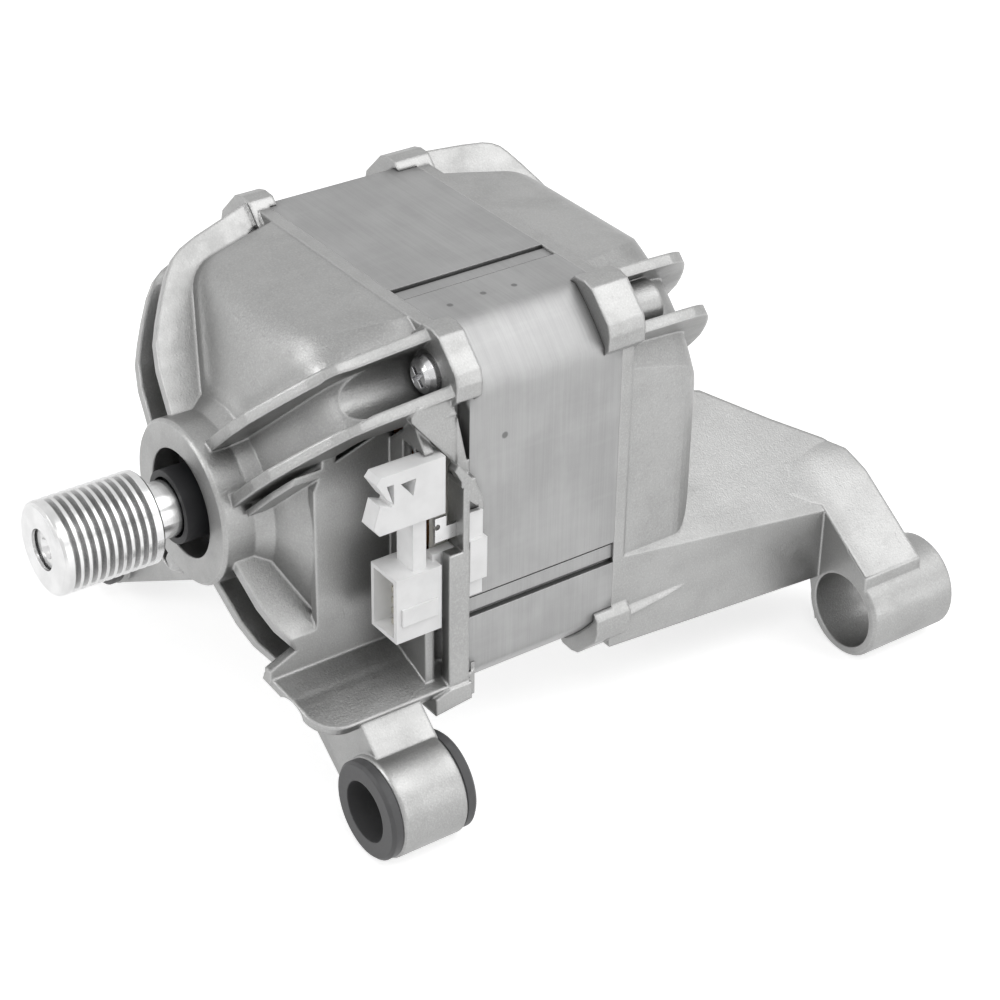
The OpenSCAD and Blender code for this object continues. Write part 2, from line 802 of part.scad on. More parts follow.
module rear_shield() {
    color([0.72, 0.73, 0.74])
    difference() {
        union() {
            to_rear() shield_body(rear_crest, rear_pad_over);
            on_diagonals() rod(screw_boss_r, core_rear_y, screw_tip_y + 3, screw_pcr, 0);
            turned() polygon([
                [0, rear_boss_y],
                [rear_hub_r, rear_boss_y],
                [rear_hub_r, rear_hub_y - 1.5],
                [rear_hub_r - 1.5, rear_hub_y],
                [0, rear_hub_y]
            ]);
            rear_arm(near_lug_x);
            mirror([1, 0, 0]) rear_arm(-far_lug_x);
            lug(near_lug_x, near_lug_z, rear_lug_y, rear_lug_end);
            lug(far_lug_x, far_lug_z, rear_lug_y, rear_lug_end);
            along_y(rear_leg_y, rear_leg_y + rear_leg_w) {
                lug_web(near_lug_x, near_lug_z, 1);
                lug_web(far_lug_x, far_lug_z, -1);
            }
        }
        to_rear() shield_hollow(rear_hub_r, 2 * core_mid_y - rear_boss_y);
        rod(rear_bearing_r + seat_fit, rear_boss_y - 1, rear_bearing_y + rear_bearing_w + washer_t);
        rod(tail_r + 4, rear_boss_y - 1, rear_hub_y - wall);
        on_diagonals() rod(screw_r + screw_fit, core_rear_y - 1, screw_tip_y + 1, screw_pcr, 0);
        lug_bores(rear_lug_y, rear_lug_end);
        core_space();
    }
}

// Solid end of an arm, from the shield's side plane down to a lug.
module lug_web(x, z, side) {
    top = arm_edge_z - arm_slope * (abs(x) - half_flats);
    polygon([
        [side * (half_flats - arm_wall), arm_edge_z + arm_slope * arm_wall - 0.5],
        [x + side * 8, top - 8 * arm_slope - 0.5],
        [x + side * 9, z],
        [x, z],
        [x - side * 10.5, z - 8.8],
        [side * (half_flats - arm_wall), arm_bottom_z]
    ]);
}

// Section of the laminations: yoke, teeth with shoes, screw holes and key strips.
module core_section() {
    difference() {
        core_outline();
        circle(bore_r);
        difference() {
            circle(slot_r);
            circle(bore_r + shoe_t);
            for (k = [0:teeth - 1]) {
                rotate(k * 360 / teeth) translate([0, -tooth_w / 2]) square([slot_r + 1, tooth_w]);
            }
        }
        for (k = [0:teeth - 1]) {
            rotate((k + 0.5) * 360 / teeth) translate([bore_r - 1, -slot_mouth / 2]) square([shoe_t + 2, slot_mouth]);
        }
        for (k = [0:3]) {
            rotate(45 + 90 * k) translate([screw_pcr, 0]) circle(screw_r + 0.25);
            rotate(90 * k) translate([strip_at, half_flats - strip_d]) square([strip_w, 2]);
            rotate(90 * k) translate([strip_at + strip_w - 1.3, half_flats - 2.5 * strip_d]) square([1.3, 3]);
            rotate(90 * k) translate([strip_at, half_flats - 2 * strip_d]) square([0.9, 3]);
        }
    }
}

module stator_core() {
    color([0.66, 0.66, 0.67])
    along_y(core_front_y, core_rear_y) core_section();
}

// End cover over the teeth with a ring round the coils.
module end_cover() {
    turned() polygon([
        [insul_ring_in, core_front_y - insul_len],
        [insul_ring_out, core_front_y - insul_len],
        [insul_ring_out, core_front_y],
        [insul_ring_in, core_front_y]
    ]);
    for (k = [0:teeth - 1]) {
        rotate([0, k * 360 / teeth, 0]) {
            block(
                [bore_r + 1, core_front_y - end_cover_t, -tooth_w / 2],
                [insul_ring_in + 0.5, core_front_y, tooth_w / 2]
            );
            block(
                [bore_r + 1, core_front_y - insul_len, -tooth_w / 2 - 2.5],
                [coil_in_r - 0.3, core_front_y, tooth_w / 2 + 2.5]
            );
        }
    }
}

module front_insulator() {
    color([0.93, 0.93, 0.9])
    end_cover();
}

module rear_insulator() {
    color([0.93, 0.93, 0.9])
    to_rear() end_cover();
}

// One coil round a tooth that points along +X.
module coil() {
    coil_len = 2 * (core_mid_y - coil_y);
    translate([coil_in_r, core_mid_y, 0]) rotate([0, 90, 0]) linear_extrude(coil_out_r - coil_in_r) {
        difference() {
            union() {
                square([2 * (coil_half + coil_t), coil_len], center = true);
                square([2 * coil_half, coil_len + 2 * coil_t], center = true);
                for (sx = [-1, 1]) {
                    for (sy = [-1, 1]) {
                        translate([sx * coil_half, sy * coil_len / 2]) circle(coil_t);
                    }
                }
            }
            square([2 * coil_half, coil_len], center = true);
        }
    }
}

module stator_coils() {
    color([0.72, 0.4, 0.2])
    for (k = [0:teeth - 1]) {
        rotate([0, k * 360 / teeth, 0]) coil();
    }
}

// Screw with a domed head and a cross recess, along the first diagonal.
module through_screw() {
    seat_y = core_front_y - screw_seat;
    head_y = seat_y - screw_head_t;
    translate([screw_pcr, 0, 0]) {
        difference() {
            union() {
                turned() polygon([
                    [0, head_y],
                    [screw_head_r - 2, head_y],
                    [screw_head_r - 0.8, head_y + 0.7],
                    [screw_head_r, head_y + 2],
                    [screw_head_r, seat_y],
                    [0, seat_y]
                ]);
                rod(screw_r, seat_y - 0.5, screw_tip_y);
            }
            block([-drive_len / 2, head_y - 1, -drive_w / 2], [drive_len / 2, head_y + drive_depth, drive_w / 2]);
            block([-drive_w / 2, head_y - 1, -drive_len / 2], [drive_w / 2, head_y + drive_depth, drive_len / 2]);
        }
    }
}

module through_screws() {
    color([0.8, 0.8, 0.82])
    on_diagonals() through_screw();
}

// Rubber bush with a collar at each end of a front lug.
module bush(x, z) {
    y0 = front_lug_y - bush_collar_t;
    y1 = front_lug_end + bush_collar_t;
    translate([x, 0, z]) turned() polygon([
        [bush_bore_r, y0],
        [bush_collar_r - edge_bevel, y0],
        [bush_collar_r, y0 + edge_bevel],
        [bush_collar_r, front_lug_y],
        [lug_bore_r - bush_fit, front_lug_y],
        [lug_bore_r - bush_fit, front_lug_end],
        [bush_collar_r, front_lug_end],
        [bush_collar_r, y1 - edge_bevel],
        [bush_collar_r - edge_bevel, y1],
        [bush_bore_r, y1]
    ]);
}

module near_bush() {
    color([0.16, 0.16, 0.17])
    bush(near_lug_x, near_lug_z);
}

module far_bush() {
    color([0.16, 0.16, 0.17])
    bush(far_lug_x, far_lug_z);
}

// Side outline of the cable clip: two jaws, a hook and a triangular eye.
module clip_outline() {
    y = shroud_y;
    difference() {
        polygon([
            [y - 5.5, block_top - 1.6],
            [y - 4.2, block_top],
            [bay_back_y + bay_t + 2, block_top],
            [bay_back_y + bay_t + 2, jaw_z],
            [y - 4.6, jaw_z],
            [y - 6.3, jaw_z + 2.2],
            [y - 4.4, jaw_z + 10.2 - clip_gap / 2],
            [y - 1.2, jaw_z + 7.2],
            [y - 0.8, jaw_z + 8.2],
            [y - 2.2, jaw_z + 9.4]
        ]);
        polygon([
            [y - 2.4, block_top - 3],
            [y - 0.4, block_top - 3],
            [y - 0.4, jaw_z + 7.4],
            [y - 1, jaw_z + 9]
        ]);
        polygon([
            [y + 1.6, block_top - 3.6],
            [y + 6, block_top - 3.4],
            [y + 5.2, block_top - 8]
        ]);
    }
}

module terminal_block() {
    shroud_low = shroud_z - shroud_h / 2;
    shroud_top = shroud_z + shroud_h / 2;
    color([0.96, 0.96, 0.95])
    difference() {
        union() {
            block([block_x, shroud_y, shroud_low], [shroud_x, bay_back_y + bay_t + 1, shroud_top]);
            block([shroud_x, shroud_y + 1.5, shroud_z - 4.5], [shroud_x + 0.7, bay_back_y + 2, shroud_z + 0.5]);
            block([block_x + 2.6, shroud_y + 6, shroud_top - 1], [shroud_x - 1.6, bay_back_y, jaw_z + 1]);
            across_x(shroud_x - clip_w, shroud_x) clip_outline();
            block(
                [block_root_x, bay_back_y + bay_t, shroud_low + 1],
                [block_root_x + block_root_w, block_back_y, post_neck_z - 0.4]
            );
            for (step = [[-17, -12, 1.4], [-12, 0, 2.6], [0, 7.8, 1.4]]) {
                block([block_root_x, post_back_y + 0.2, step[0]], [half_flats + step[2], block_back_y, step[1]]);
                block(
                    [half_flats + 0.3, post_back_y + 0.2, step[0]],
                    [half_flats + step[2], core_front_y + 2.6 + step[2] / 2, step[1]]
                );
            }
        }
        block(
            [block_x + shroud_t, shroud_y - 2, shroud_low + shroud_t],
            [shroud_x - shroud_t, shroud_y + socket_depth, shroud_top - shroud_t]
        );
        terminal_pin_row(0.02);
    }
}

// Row of flat pins, with an allowance round each one.
module terminal_pin_row(grow) {
    pitch = (shroud_h - 2 * shroud_t) / (pins + 0.2);
    for (k = [0:pins - 1]) {
        z = shroud_z + (k - (pins - 1) / 2) * pitch;
        x = (block_x + shroud_x) / 2;
        block(
            [x - pin_t / 2 - grow, shroud_y + 2.5 - grow, z - pin_t - grow],
            [x + pin_t / 2 + grow, shroud_y + socket_depth + 3 + grow, z + pin_t + grow]
        );
    }
}

module terminal_pins() {
    color([0.78, 0.74, 0.6])
    terminal_pin_row(0);
}

// Flat earth tab beside the post, on a small folded foot.
module earth_tab() {
    x = bay_edge_x - post_t - 0.02;
    color([0.7, 0.7, 0.7])
    difference() {
        union() {
            block([x - tab_t, bay_back_y + bay_t + 0.2, 1], [x, post_front_y + 1.2, 8]);
            block([x - tab_t, bay_back_y + bay_t + 0.2, 1], [x, post_back_y - 1.82, 5]);
        }
        translate([x - 2, post_front_y - 1.5, 5.4]) rotate([0, 90, 0]) cylinder(r = 0.8, h = 4);
    }
}

// Outer race of a ball bearing, with its ball groove.
module outer_race(r_out, r_bore, y0, w, ball_r) {
    mid_r = (r_out + r_bore) / 2;
    turned() difference() {
        translate([r_out - race_t, y0]) square([race_t, w]);
        translate([mid_r, y0 + w / 2]) circle(ball_r + ball_fit);
    }
}

// Inner race of a ball bearing, with its ball groove.
module inner_race(r_out, r_bore, y0, w, ball_r) {
    mid_r = (r_out + r_bore) / 2;
    turned() difference() {
        translate([r_bore, y0]) square([race_t, w]);
        translate([mid_r, y0 + w / 2]) circle(ball_r + ball_fit);
    }
}

module ball_row(r_out, r_bore, y0, w, ball_r, count) {
    for (k = [0:count - 1]) {
        rotate([0, k * 360 / count, 0])
            translate([(r_out + r_bore) / 2, y0 + w / 2, 0]) sphere(ball_r, $fn = 48);
    }
}

// Ring with a pocket for each ball.
module ball_cage(r_out, r_bore, y0, w, ball_r, count) {
    mid_r = (r_out + r_bore) / 2;
    half_w = ball_r + ball_fit + cage_rim;
    difference() {
        turned() translate([mid_r - 0.7, y0 + w / 2 - half_w]) square([1.4, 2 * half_w]);
        for (k = [0:count - 1]) {
            rotate([0, k * 360 / count, 0]) translate([mid_r - 3, y0 + w / 2, 0])
                rotate([0, 90, 0]) cylinder(r = ball_r + ball_fit, h = 6);
        }
    }
}

module front_bearing_outer() {
    color([0.6, 0.61, 0.63])
    outer_race(front_bearing_r, shaft_r, front_bearing_y, front_bearing_w, front_ball_r);
}

module front_bearing_inner() {
    color([0.6, 0.61, 0.63])
    inner_race(front_bearing_r, shaft_r + seat_fit, front_bearing_y, front_bearing_w, front_ball_r);
}

module rear_bearing_outer() {
    color([0.6, 0.61, 0.63])
    outer_race(rear_bearing_r, tail_r, rear_bearing_y, rear_bearing_w, rear_ball_r);
}

module rear_bearing_inner() {
    color([0.6, 0.61, 0.63])
    inner_race(rear_bearing_r, tail_r + seat_fit, rear_bearing_y, rear_bearing_w, rear_ball_r);
}

module front_bearing_balls() {
    color([0.8, 0.8, 0.82])
    ball_row(front_bearing_r, shaft_r, front_bearing_y, front_bearing_w, front_ball_r, front_balls);
}

module rear_bearing_balls() {
    color([0.8, 0.8, 0.82])
    ball_row(rear_bearing_r, tail_r, rear_bearing_y, rear_bearing_w, rear_ball_r, rear_balls);
}

module front_ball_cage() {
    color([0.75, 0.62, 0.35])
    ball_cage(front_bearing_r, shaft_r, front_bearing_y, front_bearing_w, front_ball_r, front_balls);
}

module rear_ball_cage() {
    color([0.75, 0.62, 0.35])
    ball_cage(rear_bearing_r, tail_r, rear_bearing_y, rear_bearing_w, rear_ball_r, rear_balls);
}

// Spring ring that holds the front bearing in its seat.
module bearing_clip() {
    y0 = front_bearing_y + front_bearing_w + 0.05;
    color([0.35, 0.35, 0.37])
    difference() {
        turned() translate([front_bearing_r - 1.6, y0]) square([2.4, clip_t]);
        block([0, y0 - 1, -3], [front_bearing_r + 2, y0 + clip_t + 1, 3]);
    }
}

// Waved ring that preloads the rear bearing.
module wave_washer() {
    y0 = rear_bearing_y + rear_bearing_w;
    color([0.55, 0.55, 0.57])
    difference() {
        turned() translate([tail_r + 4.3, y0 + 0.05]) square([rear_bearing_r - tail_r - 4.6, washer_t - 0.1]);
        for (k = [0:2]) {
            rotate([0, k * 120, 0]) translate([0, y0, 0])
                across_x(0, rear_bearing_r + 1) polygon([[-0.1, -5], [washer_t * 0.35, 0], [-0.1, 5]]);
            rotate([0, k * 120 + 60, 0]) translate([0, y0, 0])
                across_x(0, rear_bearing_r + 1) polygon([[washer_t + 0.1, -5], [washer_t * 0.65, 0], [washer_t + 0.1, 5]]);
        }
    }
}

// Dark cap in the hub's mouth, with two wings and a raised collar.
module dust_cap() {
    y0 = front_bearing_y - cap_t - 0.1;
    collar_r = shaft_r + cap_fit + cap_collar_t;
    color([0.1, 0.1, 0.11])
    difference() {
        union() {
            rod(collar_r, cap_collar_y, y0 + cap_t);
            turned() translate([hub_mouth_r - cap_t, y0 + cap_t / 2]) square([cap_t - bush_fit, cap_t / 2]);
            intersection() {
                turned() translate([collar_r - 0.5, y0]) square([hub_mouth_r - collar_r + 0.5 - bush_fit, cap_t]);
                rotate([0, -25, 0])
                    block([-hub_mouth_r, y0 - 1, -cap_wing_half], [hub_mouth_r, y0 + cap_t + 1, cap_wing_half]);
            }
        }
        rod(shaft_r + cap_fit, cap_collar_y - 1, y0 + cap_t + 1);
    }
}

module shaft() {
    color([0.82, 0.82, 0.84])
    difference() {
        turned() polygon([
            [0, pulley_y + 1.2],
            [tail_r - 0.5, pulley_y + 1.2],
            [tail_r, pulley_y + 1.7],
            [tail_r, -pulley_gap - 0.1],
            [shaft_r - 0.6, -pulley_gap],
            [shaft_r, -pulley_gap + 0.6],
            [shaft_r, shaft_step_y],
            [rotor_shaft_r, shaft_step_y + 1],
            [rotor_shaft_r, tail_step_y - 1],
            [tail_r + 1, tail_step_y],
            [tail_r, tail_step_y],
            [tail_r, shaft_end_y - 0.5],
            [tail_r - 0.5, shaft_end_y],
            [0, shaft_end_y]
        ]);
        turned() polygon([[0, pulley_y], [3, pulley_y + 1], [0, pulley_y + 5]]);
    }
}

// Ridges of the pulley as points of its half section.
function ridge_points() = [
    for (k = [0:grooves - 1])
        for (q = [[0.18, 0], [0.42, 1], [0.58, 1], [0.82, 0]])
            [pulley_r - q[1] * groove_depth, pulley_y + pulley_nose + (k + q[0]) * groove_pitch]
];

module belt_pulley() {
    color([0.84, 0.84, 0.86])
    turned() polygon(concat(
        [
            [pulley_bore_r, pulley_y + 1],
            [tail_r - 0.5, pulley_y + 0.8],
            [tail_r - 0.5, pulley_y],
            [pulley_r - 1.2, pulley_y],
            [pulley_r - 0.3, pulley_y + 0.5],
            [pulley_r, pulley_y + 1.2]
        ],
        ridge_points(),
        [
            [pulley_r, -pulley_gap - 0.5],
            [pulley_r - 0.5, -pulley_gap],
            [pulley_bore_r, -pulley_gap]
        ]
    ));
}

module rotor_core() {
    color([0.5, 0.5, 0.52])
    along_y(core_front_y, core_rear_y) difference() {
        circle(rotor_core_r);
        circle(rotor_shaft_r + seat_fit);
        for (k = [0:magnets - 1]) {
            rotate((k + 0.5) * 360 / magnets) translate([(rotor_core_r + rotor_shaft_r) / 2, 0]) circle(3.6);
        }
    }
}

// Curved magnets round the rotor core, with gaps between them.
module rotor_magnets() {
    gap = 2.4;
    color([0.3, 0.3, 0.32])
    along_y(core_front_y, core_rear_y) difference() {
        circle(rotor_r);
        circle(rotor_core_r);
        for (k = [0:magnets - 1]) {
            rotate(k * 360 / magnets) translate([rotor_core_r - 1, -gap / 2]) square([magnet_t + 3, gap]);
        }
    }
}

module rotor_end_plates() {
    plate_t = 1.8;
    color([0.6, 0.6, 0.62])
    for (y = [core_front_y - plate_t, core_rear_y]) {
        turned() translate([rotor_shaft_r + seat_fit, y]) square([rotor_r - rotor_shaft_r - 0.3, plate_t]);
    }
}

front_shield();
rear_shield();
stator_core();
front_insulator();
rear_insulator();
stator_coils();
through_screws();
near_bush();
far_bush();
terminal_block();
terminal_pins();
earth_tab();
front_bearing_outer();
rear_bearing_outer();
bearing_clip();
wave_washer();
dust_cap();
shaft();
belt_pulley();
rotor_core();
rotor_magnets();
rotor_end_plates();
front_bearing_inner();
rear_bearing_inner();
front_bearing_balls();
front_ball_cage();
rear_bearing_balls();
rear_ball_cage();
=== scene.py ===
"""Looks of a washing machine motor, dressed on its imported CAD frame."""

import math

import bmesh
import bpy
from bpy.props import FloatProperty, FloatVectorProperty, PointerProperty
from mathutils import Matrix, Vector


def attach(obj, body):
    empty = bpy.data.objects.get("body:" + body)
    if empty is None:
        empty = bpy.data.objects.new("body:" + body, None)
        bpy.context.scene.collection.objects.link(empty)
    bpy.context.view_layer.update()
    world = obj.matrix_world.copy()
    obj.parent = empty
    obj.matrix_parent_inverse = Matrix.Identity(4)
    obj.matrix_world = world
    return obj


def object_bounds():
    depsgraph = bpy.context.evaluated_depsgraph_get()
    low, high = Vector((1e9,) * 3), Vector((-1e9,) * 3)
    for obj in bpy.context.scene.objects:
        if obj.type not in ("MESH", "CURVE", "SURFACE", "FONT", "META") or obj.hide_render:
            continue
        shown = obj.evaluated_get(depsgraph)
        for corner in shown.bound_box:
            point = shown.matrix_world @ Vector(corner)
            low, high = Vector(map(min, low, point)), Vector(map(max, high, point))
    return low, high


bl_info = {
    "name": "Washing Machine Motor Looks",
    "version": (1, 0, 0),
    "blender": (4, 5, 0),
    "location": "3D View > Sidebar > Motor",
    "description": "Materials, arm blends and studio for a washing machine motor",
    "category": "Object",
}

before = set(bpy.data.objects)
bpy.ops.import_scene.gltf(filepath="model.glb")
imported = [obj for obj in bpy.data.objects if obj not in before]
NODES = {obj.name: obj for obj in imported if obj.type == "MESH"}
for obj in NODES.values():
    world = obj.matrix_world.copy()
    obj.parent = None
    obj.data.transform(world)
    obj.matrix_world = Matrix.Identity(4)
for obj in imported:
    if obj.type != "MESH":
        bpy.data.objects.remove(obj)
CAD_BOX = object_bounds()
MM = 0.001

# Half width of the stator core in millimetres, which the shields' sides share

CORE_HALF = round(max(vertex.co.x for vertex in NODES["stator_core"].data.vertices) / MM, 3)

# Places where the masks of the finishes begin and are full, in millimetres. The
# domes' flat sides lie outside the hub, between the ribs and short of the pads.

HUB_EDGE = (24, 31)
FRONT_DOME_END = (45, 40)
REAR_DOME_START = (113, 118)
RIB_EDGE = (14, 22)
CORE_CORNER = (34, 39)

# Radii of the rounded edges, in millimetres

CAST_EDGE = 1.1
CAST_BEND = 11
SHEET_EDGE = 0.35
SHEET_BEND = 7
TURNED_EDGE = 0.15
MOULDED_EDGE = 0.3
RUBBER_EDGE = 0.5

# Punch marks on the core's top and side: place and radius, in millimetres

PUNCH_MARKS = (
    ((33.2, 59.5, CORE_HALF), 0.8),
    ((32.5, 69.9, CORE_HALF), 0.8),
    ((33.2, 78.8, CORE_HALF), 0.8),
    ((CORE_HALF, 62.1, 25.7), 0.9),
)

# The rear arms, in millimetres. Their sloping top is a plane through the shield's
# side edge, and the web that ends in the lug stands a little proud of it.

ARM_SIDE = CORE_HALF
ARM_EDGE_Z = -35.0
ARM_LEG_Y = 173.0
ARM_SLOPE = 0.675
ARM_FALL = 0.15
WEB_INSET = 4.0
WEB_SIDE = ARM_SIDE - WEB_INSET
WEB_DROP = 0.5
WEB_REACH = {"near": 71.9, "far": 87.7}

# The skin that blends the web into the arm, in millimetres: how far it stands
# proud, how thick it is and how its inner rims dip into the arm. The outlines
# are corners across the arm and along the shaft, and run on past the lug.

BLEND_START = 29.0
BLEND_SKIN = 0.015
BLEND_DEPTH = 0.6
BLEND_SOFT = 3.0
BLEND_COLUMNS = 50
BLEND_ROWS = 34
REAR_GAP = 0.05
LEG_GAP = 0.1
RIM_SINK = 1.5
RIM_WIDTH = 12.0
RIM_CLOSE = 42.0
RIM_GAIN = 1.15
PAST_LUG = 200.0
ARM_REAR = ((BLEND_START, 175.1), (35.5, 187.2), (40.3, 192.0), (47.8, 193.5), (PAST_LUG, 193.5))
ARM_AHEAD = (
    (BLEND_START, 158.0),
    (47.0, 158.0),
    (52.0, ARM_LEG_Y + LEG_GAP),
    (PAST_LUG, ARM_LEG_Y + LEG_GAP),
)

# Studio: each lamp's place and width in metres, and the camera's place in metres
# with its heading, tilt and roll in degrees

LAMPS = {
    "key": ((0.54, 0.68, 0.98), 0.95),
    "front": ((-0.42, -1.15, 0.55), 0.55),
    "side": ((1.1, 0.7, 0.1), 0.8),
    "camera": ((0.7, -0.3, 1.1), 0.5),
}
CAMERA_PLACE = (0.49164, -0.256802, 0.343386)
CAMERA_TURNS = (("Z", 54.0504), ("X", 58.1623), ("Z", 1.0248))
CAMERA_SENSOR = 36.0
CAMERA_NEAR = 0.01
CAMERA_FAR = 20.0
FLOOR_SIDES = 96
FLOOR_COLOUR = (0.8, 0.8, 0.8, 1)
WHITE = (1, 1, 1, 1)


# Node building

# A Mix node's sockets for each kind of value: first, second and result

MIX_SOCKETS = {"RGBA": (6, 7, 2), "VECTOR": (4, 5, 1)}


class Value:
    """A shader socket that can be used in Python arithmetic."""

    def __init__(self, nodes, socket):
        self.nodes = nodes
        self.socket = socket

    def __add__(self, other):
        return self.nodes.math("ADD", self, other)

    def __radd__(self, other):
        return self.nodes.math("ADD", other, self)

    def __sub__(self, other):
        return self.nodes.math("SUBTRACT", self, other)

    def __rsub__(self, other):
        return self.nodes.math("SUBTRACT", other, self)

    def __mul__(self, other):
        return self.nodes.math("MULTIPLY", self, other)

    def __rmul__(self, other):
        return self.nodes.math("MULTIPLY", other, self)


class Nodes:
    """The node tree of a material or a world, emptied, and the calls that fill it."""

    def __init__(self, owner):
        owner.use_nodes = True
        self.owner = owner
        self.tree = owner.node_tree
        self.tree.nodes.clear()

    def node(self, kind, settings=None, inputs=None):
        """Adds one node: its settings first, then the values or links of its sockets."""
        made = self.tree.nodes.new(kind)
        for key, value in (settings or {}).items():
            setattr(made, key, value)
        for key, value in (inputs or {}).items():
            socket = made.inputs[key]
            if isinstance(value, Value):
                self.tree.links.new(value.socket, socket)
            elif isinstance(value, bpy.types.NodeSocket):
                self.tree.links.new(value, socket)
            else:
                socket.default_value = value
        return made

    def math(self, operation, *terms):
        """One step of arithmetic on numbers."""
        made = self.node("ShaderNodeMath", {"operation": operation}, dict(enumerate(terms)))
        return Value(self, made.outputs[0])

    def seen(self):
        """Mask of the rays that show the backdrop: to the camera, or off metal and glass."""
        rays = self.node("ShaderNodeLightPath").outputs
        mask = Value(self, rays["Is Camera Ray"])
        for name in ("Is Glossy Ray", "Is Transmission Ray"):
            mask = self.math("MAXIMUM", mask, Value(self, rays[name]))
        return mask

    def close(self, kind, shader):
        """Joins the last shader to the output, and gives the material or world."""
        self.node(kind, inputs={"Surface": shader.outputs[0]})
        return self.owner


class Shader(Nodes):
    """A material of the motor and the few calls that build its finish."""

    def __init__(self, name):
        super().__init__(bpy.data.materials.new(name))
        self.place = Value(self, self.node("ShaderNodeTexCoord").outputs["Object"])

    def vector(self, operation, *terms, output="Vector"):
        """One step of arithmetic on vectors."""
        made = self.node("ShaderNodeVectorMath", {"operation": operation}, dict(enumerate(terms)))
        return Value(self, made.outputs[output])

    def axis(self, name):
        """One coordinate of the surface point, in metres."""
        made = self.node("ShaderNodeSeparateXYZ", inputs={0: self.place})
        return Value(self, made.outputs[name])

    def offset(self, name):
        """One coordinate's distance from the shaft's axis, in metres."""
        return self.math("ABSOLUTE", self.axis(name))

    def noise(self, size, detail, rough=0.55, stretch=None):
        """Noise whose features are about size millimetres across, from 0 to 1."""
        where = self.place
        if stretch:
            where = self.vector("MULTIPLY", self.place, stretch)
        made = self.node(
            "ShaderNodeTexNoise",
            {"noise_dimensions": "3D"},
            {"Vector": where, "Scale": 1.0 / (size * MM), "Detail": detail, "Roughness": rough},
        )
        return Value(self, made.outputs["Fac"])

    def ramp(self, value, low, high):
        """Value spread from 0 at low to 1 at high, and held there."""
        made = self.node(
            "ShaderNodeMapRange",
            {"interpolation_type": "SMOOTHSTEP"},
            {"Value": value, "From Min": low, "From Max": high},
        )
        return Value(self, made.outputs["Result"])

    def within(self, value, bounds):
        """Mask that rises between two places given in millimetres."""
        return self.ramp(value, bounds[0] * MM, bounds[1] * MM)

    def mix(self, kind, mask, first, second):
        """One colour or vector turning into another where the mask rises."""
        start, end, result = MIX_SOCKETS[kind]
        made = self.node("ShaderNodeMix", {"data_type": kind}, {0: mask, start: first, end: second})
        return Value(self, made.outputs[result])

    def blend(self, mask, first, second):
        """One colour turning into another where the mask rises."""
        return self.mix("RGBA", mask, first, second)

    def layered(self, base, colour, layers):
        """A base colour with tints of the colour laid over it by their masks, in order."""
        for mask, factor in layers:
            base = self.blend(mask, base, tint(colour, factor))
        return base

    def edges(self, radius):
        """Normals that round the sharp edges by a radius in millimetres."""
        made = self.node("ShaderNodeBevel", {"samples": 6}, {"Radius": radius * MM})
        return Value(self, made.outputs[0])

    def softer(self, rounded, radius, where):
        """Normals that round the edges by a larger radius where the mask rises."""
        return self.vector("NORMALIZE", self.mix("VECTOR", where, rounded, self.edges(radius)))

    def worn(self, rounded):
        """Mask of the edges where the rounded normal leaves the true one."""
        true = self.node("ShaderNodeNewGeometry").outputs["True Normal"]
        return self.ramp(1 - self.vector("DOT_PRODUCT", rounded, true, output="Value"), 0.02, 0.2)

    def painted_recess_shade(self, reach):
        """Mask of the corners and hollows where the base colour takes painted shade, reach in millimetres.
        """
        made = self.node("ShaderNodeAmbientOcclusion", {"samples": 4}, {"Distance": reach * MM})
        return 1 - Value(self, made.outputs["AO"])

    def bump(self, height, depth, strength, normal=None):
        """A relief of a depth in millimetres, laid over a normal if one is given."""
        inputs = {"Height": height, "Distance": depth * MM, "Strength": strength}
        if normal is not None:
            inputs["Normal"] = normal
        made = self.node("ShaderNodeBump", inputs=inputs)
        return Value(self, made.outputs[0])

    def surface(self, inputs):
        """The closing shader of the material."""
        return self.close("ShaderNodeOutputMaterial", self.node("ShaderNodeBsdfPrincipled", inputs=inputs))


def tint(colour, factor):
    """A colour made darker or lighter, as four numbers."""
    return tuple(min(1.0, c * factor) for c in colour[:3]) + (1.0,)


# Materials


def dome_flats(s):
    """Mask of the dome's flat sides, away from the ribs, the hub and the connector bay."""
    across, up = s.offset("X"), s.offset("Z")
    sector = s.math("MAXIMUM", up - across, s.axis("X") * -1 - up)
    hub = s.ramp(across * across + up * up, *((edge * MM) ** 2 for edge in HUB_EDGE))
    front = s.within(s.axis("Y"), FRONT_DOME_END)
    rear = s.within(s.axis("Y"), REAR_DOME_START)
    return s.within(sector, RIB_EDGE) * hub * (front + rear)


